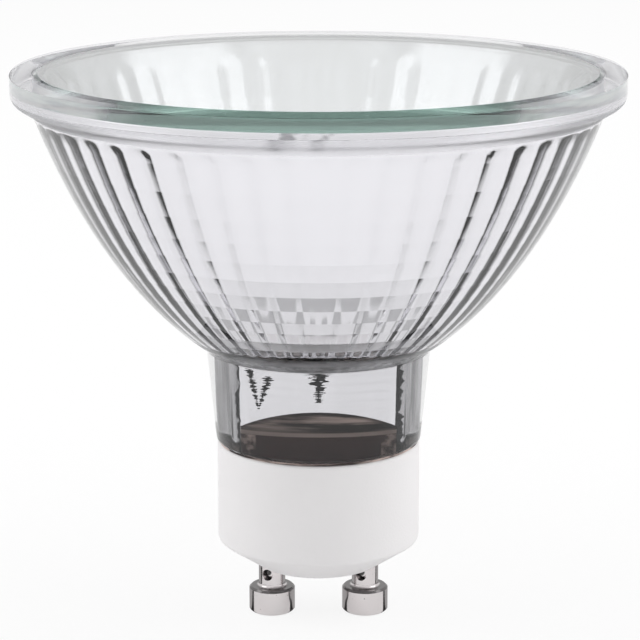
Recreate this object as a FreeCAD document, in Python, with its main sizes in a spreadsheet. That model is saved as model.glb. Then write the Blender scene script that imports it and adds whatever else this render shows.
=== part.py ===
"""A mains halogen spotlight bulb with a faceted glass reflector and a two-pin twist-lock base.

Lengths are in millimetres. The lamp stands on the ends of its two contact pins, with +Z along its
axis towards the cover glass and the pins on the X axis. Every size is a cell of the sheet below.
"""

import FreeCAD, Part
import math
import os
import re

import Sketcher
from FreeCAD import Placement, Rotation, Vector

# Each row is the alias of a cell, its number and what it measures.
SIZES = (
    ("pin_spacing", 10.0, "between the contact pins, centre to centre"),
    ("pin_head_diameter", 4.9, "contact pin head"),
    ("pin_head_height", 2.75, "contact pin head, along the axis"),
    ("pin_head_chamfer", 0.22, "on both edges of the head"),
    ("pin_shank_diameter", 2.84, "contact pin between head and base"),
    ("pin_shank_flare", 0.35, "radius where the shank grows out of the head"),
    ("pin_shank_exposed", 2.98, "between the head and the base"),
    ("pin_seat_depth", 1.5, "how far the shank is let into the base"),
    ("pin_spigot_diameter", 2.2, "thinner end that goes through the floor of the base"),
    ("pin_collar_diameter", 3.6, "riveted end inside the base"),
    ("pin_collar_height", 0.5, "riveted end, along the axis"),
    ("pin_bore_depth", 6.6, "hole for the lead, from the riveted end"),
    ("pin_hole_clearance", 0.04, "round each contact pin in the base"),
    ("crimp_diameter", 1.25, "mouth of the punch mark on the shank"),
    ("crimp_floor_diameter", 0.7, "bottom of the punch mark"),
    ("crimp_depth", 0.72, "punch mark"),
    ("crimp_height", 1.5, "punch mark above the head"),
    ("crimp_bearing", 20.0, "degrees that the punch mark is turned from the front"),
    ("base_diameter", 21.42, "ceramic base"),
    ("base_foot_diameter", 13.04, "flat foot of the base inside its bevel"),
    ("base_bevel_height", 2.81, "bevel between foot and wall"),
    ("base_height", 13.54, "ceramic base"),
    ("base_floor", 3.4, "thickness of the base under its cavity"),
    ("base_wall", 1.7, "thickness of the base round its cavity"),
    ("base_edge_radius", 0.45, "on the outer edges of the base"),
    ("joint_thickness", 0.2, "cement between base and neck"),
    ("joint_recess", 0.12, "how far that cement stays inside the base"),
    ("spigot_gap", 0.3, "cement between the spigot and the base"),
    ("spigot_length", 2.3, "spigot of the reflector inside the base"),
    ("neck_bottom_diameter", 21.6, "reflector neck at the base"),
    ("neck_top_diameter", 23.6, "reflector neck where the bowl begins"),
    ("neck_blend_radius", 0.8, "between neck and bowl"),
    ("neck_edge_radius", 0.3, "lower edge of the neck"),
    ("slot_width", 14.2, "slot for the pinch, along the pins"),
    ("slot_depth", 5.0, "slot for the pinch, front to back"),
    ("slot_corner_radius", 0.9, "upright corners of the slot"),
    ("lamp_height", 58.66, "pin ends to rim"),
    ("rim_diameter", 63.0, "reflector rim"),
    ("rim_wall_height", 2.75, "upright outer wall of the rim"),
    ("rim_shoulder", 2.15, "how far the rim stands out over the bowl"),
    ("rim_land", 2.35, "flat ring of the rim beside the cover's recess"),
    ("rim_top_radius", 0.45, "upper outer edge of the rim"),
    ("rim_lower_radius", 0.9, "lower outer edge of the rim"),
    ("ledge_width", 1.54, "ledge under the cover, round the mouth of the bowl"),
    ("bowl_depth", 26.28, "hollow of the bowl, from the ledge to its floor"),
    ("bowl_centre_rise", 36.6, "centre of the bowl's ellipsoids above the rim"),
    ("bowl_side_wall", 2.2, "between the ellipsoids, across the axis"),
    ("bowl_end_wall", 2.4, "between the ellipsoids, along the axis"),
    ("bowl_floor_diameter", 16.1, "lowest ring of facets"),
    ("facet_columns", 48, "facets round the bowl"),
    ("cover_thickness", 2.0, "cover glass"),
    ("cover_chamfer", 0.2, "edges of the cover glass"),
    ("cover_recess", 0.15, "top of the cover below the rim"),
    ("cover_gap", 0.2, "adhesive round the cover"),
    ("adhesive_thickness", 0.25, "adhesive under the cover"),
    ("adhesive_rise", 1.3, "adhesive up the edge of the cover"),
    ("adhesive_setback", 0.35, "adhesive behind the mouth of the bowl"),
    ("bulb_diameter", 12.6, "quartz bulb"),
    ("bulb_wall", 1.0, "quartz bulb"),
    ("bulb_length", 17.0, "quartz bulb between its round ends"),
    ("bulb_lift", 0.9, "quartz bulb above the floor of the bowl"),
    ("tip_diameter", 2.6, "exhaust tip of the bulb"),
    ("tip_height", 1.6, "exhaust tip above the bulb"),
    ("pinch_width", 13.0, "pinch seal, along the pins"),
    ("pinch_thickness", 3.6, "pinch seal, front to back"),
    ("pinch_edge_radius", 0.6, "upright edges of the pinch"),
    ("pinch_overhang", 0.6, "pinch below the spigot"),
    ("pinch_neck_width", 8.4, "pinch where it runs into the bulb"),
    ("pinch_rise", 3.4, "pinch above the bottom of the bulb"),
    ("cement_centre_share", 0.563, "height of the plug in its middle, as a share of the slot"),
    ("cement_edge_share", 0.407, "height of the plug at its sides, as a share of the slot"),
    ("lead_spacing", 6.4, "between the inner leads"),
    ("inner_lead_diameter", 0.6, "inner leads"),
    ("outer_lead_diameter", 0.8, "outer leads, and the bores that they go into"),
    ("outer_lead_bend", 0.9, "radius of the bends, at the middle of the wire"),
    ("outer_lead_seat", 3.2, "outer lead inside the pinch"),
    ("outer_lead_step", 1.4, "height of the slanted stretch"),
    ("foil_inset", 2.1, "sealing foils below the bulb"),
    ("foil_width", 2.6, "sealing foils"),
    ("foil_thickness", 0.1, "sealing foils"),
    ("filament_diameter", 1.0, "coil, outside"),
    ("filament_rise", 8.2, "height of the coil"),
    ("filament_lift", 5.0, "ends of the coil above the bottom of the bulb"),
    ("filament_bend", 2.4, "radius of the coil's shoulders"),
    ("filament_lap", 1.3, "lead inside the coil's end"),
    ("support_diameter", 0.34, "hooked support wire"),
    ("support_clearance", 0.06, "between hook and coil"),
    ("support_seat", 2.5, "support wire inside the pinch"),
    ("support_flat", 0.14, "straight stretch at the top of the hook"),
    ("support_end", 0.7, "free end of the hook below the middle of the coil"),
    ("fuse_diameter", 2.0, "fuse body"),
    ("fuse_length", 2.8, "fuse body"),
    ("fuse_end_radius", 0.5, "round ends of the fuse"),
    ("fuse_lift", 0.8, "fuse above the riveted end of its pin"),
)
FACET_ROWS = 16

# Lengths nearer than this are taken as equal.
CLOSE = 1e-6

doc = FreeCAD.newDocument("spotlight_bulb")
sheet = doc.addObject("Spreadsheet::Sheet", "Sizes")
for row, (alias, number, meaning) in enumerate(SIZES, 1):
    sheet.set(f"A{row}", meaning)
    sheet.set(f"B{row}", str(number))
    sheet.setAlias(f"B{row}", alias)
doc.recompute()

# Levels along the axis, as formulas of the sheet's cells.
BASE_FOOT = "(pin_head_height + pin_shank_exposed)"
BASE_FLOOR = f"({BASE_FOOT} + base_floor)"
BASE_TOP = f"({BASE_FOOT} + base_height)"
PIN_SHOULDER = f"({BASE_FOOT} + pin_seat_depth)"
PIN_TOP = f"({BASE_FLOOR} + pin_collar_height)"
NECK_BOTTOM = f"({BASE_TOP} + joint_thickness)"
SPIGOT_BOTTOM = f"({NECK_BOTTOM} - spigot_length)"
COVER_TOP = "(lamp_height - cover_recess)"
COVER_BOTTOM = f"({COVER_TOP} - cover_thickness)"
LEDGE = f"({COVER_BOTTOM} - adhesive_thickness)"
BOWL_FLOOR = f"({LEDGE} - bowl_depth)"
BOWL_CENTRE = "(lamp_height + bowl_centre_rise)"
BULB_BOTTOM = f"({BOWL_FLOOR} + bulb_lift)"
BULB_TOP = f"({BULB_BOTTOM} + bulb_length)"
PINCH_BOTTOM = f"({SPIGOT_BOTTOM} - pinch_overhang)"
PINCH_TOP = f"({BULB_BOTTOM} + pinch_rise)"
FOIL_BOTTOM = f"({PINCH_BOTTOM} + outer_lead_seat)"
FOIL_TOP = f"({BULB_BOTTOM} - foil_inset)"
COIL_ENDS = f"({BULB_BOTTOM} + filament_lift)"
COIL_TOP = f"({COIL_ENDS} + filament_rise)"
FUSE_BOTTOM = f"({PIN_TOP} + fuse_lift)"
FUSE_TOP = f"({FUSE_BOTTOM} + fuse_length)"
LEAD_BEND_FOOT = f"({FUSE_TOP} + outer_lead_bend)"
LEAD_BEND_TOP = f"({LEAD_BEND_FOOT} + outer_lead_step)"
PIN_BORE_FOOT = f"({PIN_TOP} - pin_bore_depth)"

# Radii and half widths that several pieces share.
CUP_RADIUS = "(base_diameter / 2 - base_wall)"
SPIGOT_RADIUS = f"({CUP_RADIUS} - spigot_gap)"
RIM_ROOT_RADIUS = "(rim_diameter / 2 - rim_shoulder)"
RECESS_RADIUS = "(rim_diameter / 2 - rim_land)"
COVER_RADIUS = f"({RECESS_RADIUS} - cover_gap)"
MOUTH_RADIUS = f"({RECESS_RADIUS} - ledge_width)"
FLOOR_RADIUS = "(bowl_floor_diameter / 2)"
HOOK_REACH = "(filament_diameter / 2 + support_clearance + support_diameter / 2)"

# The inner ellipsoid of the bowl goes through the mouth and the floor; the outer one is a wall larger.
MOUTH_DROP = f"({BOWL_CENTRE} - {LEDGE})"
FLOOR_DROP = f"({MOUTH_DROP} + bowl_depth)"
RADII_SQUARED = f"({MOUTH_RADIUS}^2 - {FLOOR_RADIUS}^2)"
DROPS_SQUARED = f"(({MOUTH_RADIUS} * {FLOOR_DROP})^2 - ({FLOOR_RADIUS} * {MOUTH_DROP})^2)"
INNER_REACH = f"sqrt({DROPS_SQUARED} / {RADII_SQUARED})"
INNER_GIRTH = f"({MOUTH_RADIUS} / sqrt(1 - ({MOUTH_DROP} / {INNER_REACH})^2))"
OUTER_REACH = f"({INNER_REACH} + bowl_end_wall)"
OUTER_GIRTH = f"({INNER_GIRTH} + bowl_side_wall)"


def formula(text):
    """The text with every alias written as a cell of the sheet."""
    return re.sub(r"\b([a-z]+(?:_[a-z]+)+)\b", r"Sizes.\1", text)


def size(text):
    """The number that a formula of the sheet's cells comes to."""
    return float(sheet.evalExpression(formula(str(text))))


def bind(thing, setting, text):
    """Ties one property of a document object to a formula of the sheet's cells."""
    thing.setExpression(setting, formula(text))


def new_body(label):
    body = doc.addObject("PartDesign::Body", label)
    body.Label = label
    return body


def new_sketch(body, name, role, offset=None):
    """A sketch on one of the body's own planes, or parallel to it at a formula's distance."""
    sketch = body.newObject("Sketcher::SketchObject", f"{body.Name}_{name}")
    planes = {feature.Role: feature for feature in body.Origin.OriginFeatures}
    sketch.AttachmentSupport = [(planes[role], "")]
    sketch.MapMode = "FlatFace"
    if offset is not None:
        bind(sketch, "AttachmentOffset.Base.z", offset)
    return sketch


def dimension(sketch, kind, items, text):
    """Adds a driving dimension to a sketch and ties it to a formula."""
    index = sketch.addConstraint(Sketcher.Constraint(kind, *items, size(text)))
    bind(sketch, f"Constraints[{index}]", text)


def place_point(sketch, shape, end, across, up):
    """Fixes one end of a sketch line, or a sketch point, by formulas for its two coordinates."""
    for kind, text, axis in (("DistanceX", across, -2), ("DistanceY", up, -1)):
        if text is None:
            continue
        if size(text) == 0:
            sketch.addConstraint(Sketcher.Constraint("PointOnObject", shape, end, axis))
        else:
            dimension(sketch, kind, (-1, 1, shape, end), text)


def spot(corner):
    across, up = corner
    return Vector(size(across), size(up), 0)


def draw_outline(sketch, corners):
    """A closed outline of straight sides through corners given as pairs of formulas."""
    spots = [spot(corner) for corner in corners]
    count = len(corners)
    sides = [Part.LineSegment(spots[i], spots[(i + 1) % count]) for i in range(count)]
    sketch.addGeometry(sides, False)
    for i, (across, up) in enumerate(corners):
        sketch.addConstraint(Sketcher.Constraint("Coincident", i - 1 if i else count - 1, 2, i, 1))
        place_point(sketch, i, 1, across, up)


def draw_circles(sketch, circles):
    """Circles given as formulas for centre and diameter."""
    for i, (across, up, diameter) in enumerate(circles):
        centre = spot((across, up))
        sketch.addGeometry(Part.Circle(centre, Vector(0, 0, 1), size(diameter) / 2), False)
        dimension(sketch, "Diameter", (i,), diameter)
        place_point(sketch, i, 3, across, up)


def revolve(body, sketch, kind="Revolution"):
    """Turns a half section round the axis, as material or as a groove."""
    turned = body.newObject(f"PartDesign::{kind}", f"{sketch.Name}_turned")
    turned.Profile = sketch
    turned.ReferenceAxis = (sketch, ["V_Axis"])
    turned.Angle = 360
    doc.recompute()
    return turned


def extrude(body, sketch, length, midplane=False, kind="Pad"):
    """Pads or pockets a sketch by a formula's length, along its normal or to both sides."""
    raised = body.newObject(f"PartDesign::{kind}", f"{sketch.Name}_{kind.lower()}")
    raised.Profile = sketch
    raised.SideType = "Symmetric" if midplane else "One side"
    raised.Reversed = kind == "Pocket"
    bind(raised, "Length", length)
    doc.recompute()
    return raised


def turned_body(label, corners):
    """A body of one turned half section."""
    body = new_body(label)
    sketch = new_sketch(body, "section", "XZ_Plane")
    draw_outline(sketch, corners)
    revolve(body, sketch)
    return body


def named_edges(feature, curve):
    """The edges of a feature that lie on one kind of curve, with their names; poles are passed over."""
    for number, edge in enumerate(feature.Shape.Edges, 1):
        if not edge.Degenerated and isinstance(edge.Curve, curve):
            yield f"Edge{number}", edge


def ring_edges(feature, radius, height):
    """Names of the round edges of a feature that have this radius, at this height."""
    names = []
    for name, edge in named_edges(feature, Part.Circle):
        miss = abs(edge.Curve.Radius - size(radius)) + abs(edge.Curve.Center.z - size(height))
        if miss < CLOSE:
            names.append(name)
    return names


def upright_edges(feature):
    """Names of the straight edges of a feature that run along the axis."""
    names = []
    for name, edge in named_edges(feature, Part.Line):
        if abs(edge.BoundBox.ZLength - edge.Length) < CLOSE:
            names.append(name)
    return names


def dress(body, kind, setting, text, edges):
    """Rounds or bevels named edges of the body's last feature."""
    base = body.Tip
    dressed = body.newObject(f"PartDesign::{kind}", f"{base.Name}_{kind.lower()}")
    dressed.Base = (base, edges)
    bind(dressed, setting, text)
    doc.recompute()
    return dressed


def boolean(label, kind, base, tool):
    """One Part boolean of two document objects."""
    result = doc.addObject(f"Part::{kind}", label)
    result.Label = label
    result.Base = base
    result.Tool = tool
    result.Refine = False
    return result


def fuse_all(label, shapes):
    result = doc.addObject("Part::MultiFuse", label)
    result.Shapes = shapes
    result.Refine = False
    return result


def bent_path(sketch, corners, bend):
    """Straight runs through corners given as formulas, with a tangent arc at each inner corner."""
    spots = [spot(corner) for corner in corners]
    radius = size(bend)
    starts, ends, arcs = [spots[0]], [], []
    for before, corner, after in zip(spots, spots[1:], spots[2:]):
        back = (before - corner).normalize()
        ahead = (after - corner).normalize()
        half = back.getAngle(ahead) / 2
        inwards = (back + ahead).normalize()
        trim = radius / math.tan(half)
        enter, leave = corner + back * trim, corner + ahead * trim
        middle = corner + inwards * (radius / math.sin(half) - radius)
        ends.append(enter)
        arcs.append(Part.Arc(enter, middle, leave))
        starts.append(leave)
    ends.append(spots[-1])
    runs = [Part.LineSegment(a, b) for a, b in zip(starts, ends)]
    sketch.addGeometry(runs, False)
    for i, arc in enumerate(arcs):
        turn = sketch.addGeometry(arc, False)
        enters_first = sketch.getPoint(turn, 1).distanceToPoint(ends[i]) < radius / 1000
        enter_end, leave_end = (1, 2) if enters_first else (2, 1)
        sketch.addConstraint(Sketcher.Constraint("Tangent", i, 2, turn, enter_end))
        sketch.addConstraint(Sketcher.Constraint("Tangent", turn, leave_end, i + 1, 1))
        dimension(sketch, "Radius", (turn,), bend)
        knee = sketch.addGeometry(Part.Point(spots[i + 1]), True)
        sketch.addConstraint(Sketcher.Constraint("PointOnObject", knee, 1, i))
        sketch.addConstraint(Sketcher.Constraint("PointOnObject", knee, 1, i + 1))
        place_point(sketch, knee, 1, *corners[i + 1])
    place_point(sketch, 0, 1, *corners[0])
    place_point(sketch, len(runs) - 1, 2, *corners[-1])


def bent_rod(label, role, corners, bend, diameters):
    """A rod or tube along a bent path in one of the body's upright planes; its first run is upright."""
    body = new_body(label)
    path = new_sketch(body, "path", role)
    bent_path(path, corners, bend)
    across, start = corners[0]
    section = new_sketch(body, "section", "XY_Plane", start)
    centre = (across, "0") if role == "XZ_Plane" else ("0", across)
    draw_circles(section, [(*centre, diameter) for diameter in diameters])
    doc.recompute()
    rod = body.newObject("PartDesign::AdditivePipe", f"{label}_rod")
    rod.Profile = section
    rod.Spine = (path, [])
    doc.recompute()
    return body


def straight_rod(label, across, bottom, top, diameter):
    """A straight round wire beside the axis, between two levels."""
    rod = doc.addObject("Part::Cylinder", label)
    rod.Label = label
    bind(rod, "Radius", f"{diameter} / 2")
    bind(rod, "Height", f"{top} - {bottom}")
    bind(rod, "Placement.Base.x", across)
    bind(rod, "Placement.Base.z", bottom)
    return rod


def make_contact_pin(label, side):
    """A turned pin: head, flared shank, thinner spigot through the floor and a riveted collar."""
    shank = "pin_shank_diameter / 2"
    corners = (
        ("0", "0"),
        ("pin_head_diameter / 2", "0"),
        ("pin_head_diameter / 2", "pin_head_height"),
        (shank, "pin_head_height"),
        (shank, PIN_SHOULDER),
        ("pin_spigot_diameter / 2", PIN_SHOULDER),
        ("pin_spigot_diameter / 2", BASE_FLOOR),
        ("pin_collar_diameter / 2", BASE_FLOOR),
        ("pin_collar_diameter / 2", PIN_TOP),
        ("outer_lead_diameter / 2", PIN_TOP),
        ("outer_lead_diameter / 2", PIN_BORE_FOOT),
        ("0", PIN_BORE_FOOT),
    )
    body = turned_body(label, corners)
    head_rims = [
        name
        for height in ("0", "pin_head_height")
        for name in ring_edges(body.Tip, "pin_head_diameter / 2", height)
    ]
    dress(body, "Chamfer", "Size", "pin_head_chamfer", head_rims)
    dress(body, "Fillet", "Radius", "pin_shank_flare", ring_edges(body.Tip, shank, "pin_head_height"))
    mark = body.newObject("PartDesign::SubtractiveCone", f"{label}_crimp")
    bind(mark, "Radius1", "crimp_diameter / 2")
    bind(mark, "Radius2", "crimp_floor_diameter / 2")
    bind(mark, "Height", "crimp_depth")
    bearing = math.radians(size("crimp_bearing"))
    outward = Vector(-math.sin(bearing), -math.cos(bearing), 0)
    mouth = outward * size(shank) + Vector(0, 0, size("pin_head_height + crimp_height"))
    mark.Placement = Placement(mouth, Rotation(Vector(0, 0, 1), -outward))
    bind(body, "Placement.Base.x", f"{side} * pin_spacing / 2")
    return body


def make_ceramic_base():
    """A cup with a bevelled foot, and a stepped hole through its floor for each contact pin."""
    wall = "base_diameter / 2"
    foot = "base_foot_diameter / 2"
    bevel_top = f"{BASE_FOOT} + base_bevel_height"
    corners = (
        ("0", BASE_FOOT),
        (foot, BASE_FOOT),
        (wall, bevel_top),
        (wall, BASE_TOP),
        (CUP_RADIUS, BASE_TOP),
        (CUP_RADIUS, BASE_FLOOR),
        ("0", BASE_FLOOR),
    )
    body = turned_body("ceramic_base", corners)
    outer_rims = [
        name
        for radius, height in ((foot, BASE_FOOT), (wall, bevel_top), (wall, BASE_TOP))
        for name in ring_edges(body.Tip, radius, height)
    ]
    dress(body, "Fillet", "Radius", "base_edge_radius", outer_rims)
    for name, diameter, depth in (
        ("shank_holes", "pin_shank_diameter", "pin_seat_depth"),
        ("spigot_holes", "pin_spigot_diameter", "base_floor"),
    ):
        sketch = new_sketch(body, name, "XY_Plane", BASE_FOOT)
        across = "pin_spacing / 2"
        hole = f"{diameter} + 2 * pin_hole_clearance"
        draw_circles(sketch, ((across, "0", hole), (f"-{across}", "0", hole)))
        extrude(body, sketch, depth, kind="Pocket")
    return body


def make_base_cement():
    """The joint under the neck, with a collar between the spigot and the cup."""
    rim = "base_diameter / 2 - joint_recess"
    corners = (
        (SPIGOT_RADIUS, SPIGOT_BOTTOM),
        (CUP_RADIUS, SPIGOT_BOTTOM),
        (CUP_RADIUS, BASE_TOP),
        (rim, BASE_TOP),
        (rim, NECK_BOTTOM),
        (SPIGOT_RADIUS, NECK_BOTTOM),
    )
    return turned_body("base_cement", corners)


def make_reflector_blank():
    """The pressed outside: spigot, tapered neck, half of an ellipsoid for the bowl, and the rim."""
    body = new_body("reflector_blank")
    sketch = new_sketch(body, "section", "XZ_Plane")
    neck_top = "neck_top_diameter / 2"
    rim = "rim_diameter / 2"
    neck = (("0", SPIGOT_BOTTOM), (SPIGOT_RADIUS, SPIGOT_BOTTOM), (SPIGOT_RADIUS, NECK_BOTTOM),
            ("neck_bottom_diameter / 2", NECK_BOTTOM))
    flange = ((rim, "lamp_height - rim_wall_height"), (rim, "lamp_height"), ("0", "lamp_height"))
    centre = Vector(0, size(BOWL_CENTRE), 0)
    reach = Vector(0, size(OUTER_REACH), 0)
    girth = Vector(size(OUTER_GIRTH), 0, 0)
    ellipse = Part.Ellipse(centre - reach, centre + girth, centre)

    def on_bowl(radius):
        share = math.sqrt(1 - (size(radius) / girth.x) ** 2)
        return Vector(size(radius), centre.y - reach.y * share, 0)

    low, high = on_bowl(neck_top), on_bowl(RIM_ROOT_RADIUS)
    spots = [spot(corner) for corner in neck] + [low]
    sides = [Part.LineSegment(a, b) for a, b in zip(spots, spots[1:])]
    spots = [high] + [spot(corner) for corner in flange] + [spots[0]]
    sides += [Part.LineSegment(a, b) for a, b in zip(spots, spots[1:])]
    sketch.addGeometry(sides, False)
    bowl = sketch.addGeometry(
        Part.ArcOfEllipse(ellipse, ellipse.parameter(low), ellipse.parameter(high)), False)
    sketch.exposeInternalGeometry(bowl)
    long_axis, short_axis = bowl + 1, bowl + 2
    neck_side, flange_side, last_side = len(neck) - 1, len(neck), len(sides) - 1
    for i in range(last_side):
        if i != neck_side:
            sketch.addConstraint(Sketcher.Constraint("Coincident", i, 2, i + 1, 1))
    sketch.addConstraint(Sketcher.Constraint("Coincident", last_side, 2, 0, 1))
    sketch.addConstraint(Sketcher.Constraint("Coincident", neck_side, 2, bowl, 1))
    sketch.addConstraint(Sketcher.Constraint("Coincident", flange_side, 1, bowl, 2))
    for i, (across, up) in enumerate(neck):
        place_point(sketch, i, 1, across, up)
    for i, (across, up) in enumerate(flange, flange_side + 1):
        place_point(sketch, i, 1, across, up)
    place_point(sketch, neck_side, 2, neck_top, None)
    place_point(sketch, flange_side, 1, RIM_ROOT_RADIUS, None)
    place_point(sketch, bowl, 3, "0", BOWL_CENTRE)
    sketch.addConstraint(Sketcher.Constraint("Vertical", long_axis))
    dimension(sketch, "Distance", (long_axis,), f"2 * {OUTER_REACH}")
    dimension(sketch, "Distance", (short_axis,), f"2 * {OUTER_GIRTH}")
    revolve(body, sketch)
    for setting, radius, height in (
        ("neck_blend_radius", neck_top, str(low.y)),
        ("neck_edge_radius", "neck_bottom_diameter / 2", NECK_BOTTOM),
        ("rim_lower_radius", rim, "lamp_height - rim_wall_height"),
        ("rim_top_radius", rim, "lamp_height"),
    ):
        dress(body, "Fillet", "Radius", setting, ring_edges(body.Tip, radius, height))
    return body


def make_facet_core():
    """The faceted hollow: rings of equal radial steps on the inner ellipsoid, joined by flat facets."""
    rings = []
    for level in range(FACET_ROWS + 1):
        radius = f"({FLOOR_RADIUS} + ({MOUTH_RADIUS} - {FLOOR_RADIUS}) * {level} / {FACET_ROWS})"
        ring = doc.addObject("Part::RegularPolygon", f"facet_ring_{level}")
        ring.Placement.Rotation = Rotation(Vector(0, 0, 1), 180 / size("facet_columns"))
        bind(ring, "Polygon", "facet_columns")
        bind(ring, "Circumradius", radius)
        bind(ring, "Placement.Base.z",
             f"{BOWL_CENTRE} - {INNER_REACH} * sqrt(1 - ({radius} / {INNER_GIRTH})^2)")
        rings.append(ring)
    core = doc.addObject("Part::Loft", "facet_core")
    core.Sections = rings
    core.Solid = True
    core.Ruled = True
    return core


def make_slot_core():
    """The slot for the pinch, from the floor of the bowl to the end of the spigot."""
    body = new_body("slot_core")
    sketch = new_sketch(body, "outline", "XY_Plane", SPIGOT_BOTTOM)
    across, deep = "slot_width / 2", "slot_depth / 2"
    corners = ((f"-{across}", f"-{deep}"), (across, f"-{deep}"), (across, deep), (f"-{across}", deep))
    draw_outline(sketch, corners)
    extrude(body, sketch, f"{BOWL_FLOOR} - {SPIGOT_BOTTOM}")
    dress(body, "Fillet", "Radius", "slot_corner_radius", upright_edges(body.Tip))
    return body


def make_cover_recess():
    """The recess in the rim that takes the cover."""
    recess = doc.addObject("Part::Cylinder", "cover_recess_core")
    bind(recess, "Radius", RECESS_RADIUS)
    bind(recess, "Height", f"lamp_height - {LEDGE}")
    bind(recess, "Placement.Base.z", LEDGE)
    return recess


def make_cover_glass():
    """A flat disc with bevelled edges."""
    body = new_body("cover_glass")
    sketch = new_sketch(body, "outline", "XY_Plane", COVER_BOTTOM)
    draw_circles(sketch, (("0", "0", f"2 * {COVER_RADIUS}"),))
    disc = extrude(body, sketch, "cover_thickness")
    rims = [
        name
        for height in (COVER_BOTTOM, COVER_TOP)
        for name in ring_edges(disc, COVER_RADIUS, height)
    ]
    dress(body, "Chamfer", "Size", "cover_chamfer", rims)
    return body


def make_cover_adhesive():
    """A bead on the ledge that also fills the gap beside the cover."""
    corners = (
        (f"{MOUTH_RADIUS} + adhesive_setback", LEDGE),
        (RECESS_RADIUS, LEDGE),
        (RECESS_RADIUS, f"{COVER_BOTTOM} + adhesive_rise"),
        (COVER_RADIUS, f"{COVER_BOTTOM} + adhesive_rise"),
        (COVER_RADIUS, f"{COVER_BOTTOM} + cover_chamfer"),
        (f"{COVER_RADIUS} - cover_chamfer", COVER_BOTTOM),
        (f"{MOUTH_RADIUS} + adhesive_setback", COVER_BOTTOM),
    )
    return turned_body("cover_adhesive", corners)


def make_capsule_blank():
    """The quartz bulb with round ends and exhaust tip, its hollow, and the flat pinch below it."""
    body = new_body("capsule_blank")
    section = new_sketch(body, "bulb", "XZ_Plane")
    draw_round_ended(section, "bulb_diameter / 2", BULB_BOTTOM, BULB_TOP)
    revolve(body, section)
    tip = new_sketch(body, "tip", "XZ_Plane")
    draw_round_ended(tip, "(tip_diameter / 2)",
                     f"({BULB_TOP} - tip_diameter)", f"({BULB_TOP} + tip_height)")
    revolve(body, tip)
    pinch = new_sketch(body, "pinch", "XZ_Plane")
    half, neck = "pinch_width / 2", "pinch_neck_width / 2"
    draw_outline(pinch, (
        (f"-{half}", PINCH_BOTTOM), (half, PINCH_BOTTOM), (half, BOWL_FLOOR), (neck, PINCH_TOP),
        (f"-{neck}", PINCH_TOP), (f"-{half}", BOWL_FLOOR)))
    extrude(body, pinch, "pinch_thickness", midplane=True)
    long_edges = [
        name for name in upright_edges(body.Tip)
        if body.Tip.Shape.getElement(name).BoundBox.ZMax < size(BULB_BOTTOM)
    ]
    dress(body, "Fillet", "Radius", "pinch_edge_radius", long_edges)
    hollow = new_sketch(body, "hollow", "XZ_Plane")
    draw_round_ended(hollow, "(bulb_diameter / 2 - bulb_wall)",
                     f"({BULB_BOTTOM} + bulb_wall)", f"({BULB_TOP} - bulb_wall)")
    revolve(body, hollow, kind="Groove")
    return body


def draw_round_ended(sketch, radius, bottom, top):
    """Half section of a rod with hemispherical ends, closed along the axis."""
    reach, low, high = size(radius), size(bottom), size(top)
    middle = math.sqrt(0.5)
    south, north = Vector(0, low, 0), Vector(0, high, 0)
    south_rim, north_rim = Vector(reach, low + reach, 0), Vector(reach, high - reach, 0)
    south_way = Vector(reach * middle, low + reach * (1 - middle), 0)
    north_way = Vector(reach * middle, high - reach * (1 - middle), 0)
    sketch.addGeometry([
        Part.Arc(south, south_way, south_rim),
        Part.LineSegment(south_rim, north_rim),
        Part.Arc(north_rim, north_way, north),
        Part.LineSegment(north, south),
    ], False)
    lower, side, upper, axis = range(4)
    sketch.addConstraint(Sketcher.Constraint("Coincident", lower, 1, axis, 2))
    sketch.addConstraint(Sketcher.Constraint("Tangent", lower, 2, side, 1))
    sketch.addConstraint(Sketcher.Constraint("Tangent", side, 2, upper, 1))
    sketch.addConstraint(Sketcher.Constraint("Coincident", upper, 2, axis, 1))
    for arc in (lower, upper):
        sketch.addConstraint(Sketcher.Constraint("PointOnObject", arc, 3, -2))
    place_point(sketch, axis, 2, "0", bottom)
    place_point(sketch, axis, 1, "0", top)
    dimension(sketch, "Radius", (lower,), radius)
    dimension(sketch, "Radius", (upper,), radius)


def make_foil(label, side):
    """A thin strip in the middle of the pinch."""
    foil = doc.addObject("Part::Box", label)
    foil.Label = label
    bind(foil, "Length", "foil_width")
    bind(foil, "Width", "foil_thickness")
    bind(foil, "Height", f"{FOIL_TOP} - {FOIL_BOTTOM}")
    bind(foil, "Placement.Base.x", f"{side} * lead_spacing / 2 - foil_width / 2")
    bind(foil, "Placement.Base.y", "-foil_thickness / 2")
    bind(foil, "Placement.Base.z", FOIL_BOTTOM)
    return foil


def make_filament():
    """The coil as a tube of its outer size, bent as a horseshoe; each end slips over a lead."""
    across = "lead_spacing / 2"
    left, right = f"-{across}", across
    corners = ((left, COIL_ENDS), (left, COIL_TOP), (right, COIL_TOP), (right, COIL_ENDS))
    return bent_rod("filament", "XZ_Plane", corners, "filament_bend",
                    ("filament_diameter", "inner_lead_diameter"))


def make_filament_support():
    """A wire behind the coil that hooks over its top."""
    over = f"({COIL_TOP} + {HOOK_REACH})"
    corners = (
        (HOOK_REACH, f"{BULB_BOTTOM} + bulb_wall - support_seat"),
        (HOOK_REACH, over),
        (f"-{HOOK_REACH}", over),
        (f"-{HOOK_REACH}", f"{COIL_TOP} - support_end"),
    )
    bend = f"({HOOK_REACH} - support_flat / 2)"
    return bent_rod("filament_support", "YZ_Plane", corners, bend, ("support_diameter",))


def make_outer_lead(label, side, foot):
    """A wire from the foil out of the pinch, stepped sideways over its contact pin."""
    inner, outer = f"{side} * lead_spacing / 2", f"{side} * pin_spacing / 2"
    corners = ((inner, FOIL_BOTTOM), (inner, LEAD_BEND_TOP), (outer, LEAD_BEND_FOOT), (outer, foot))
    return bent_rod(label, "XZ_Plane", corners, "outer_lead_bend", ("outer_lead_diameter",))


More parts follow.
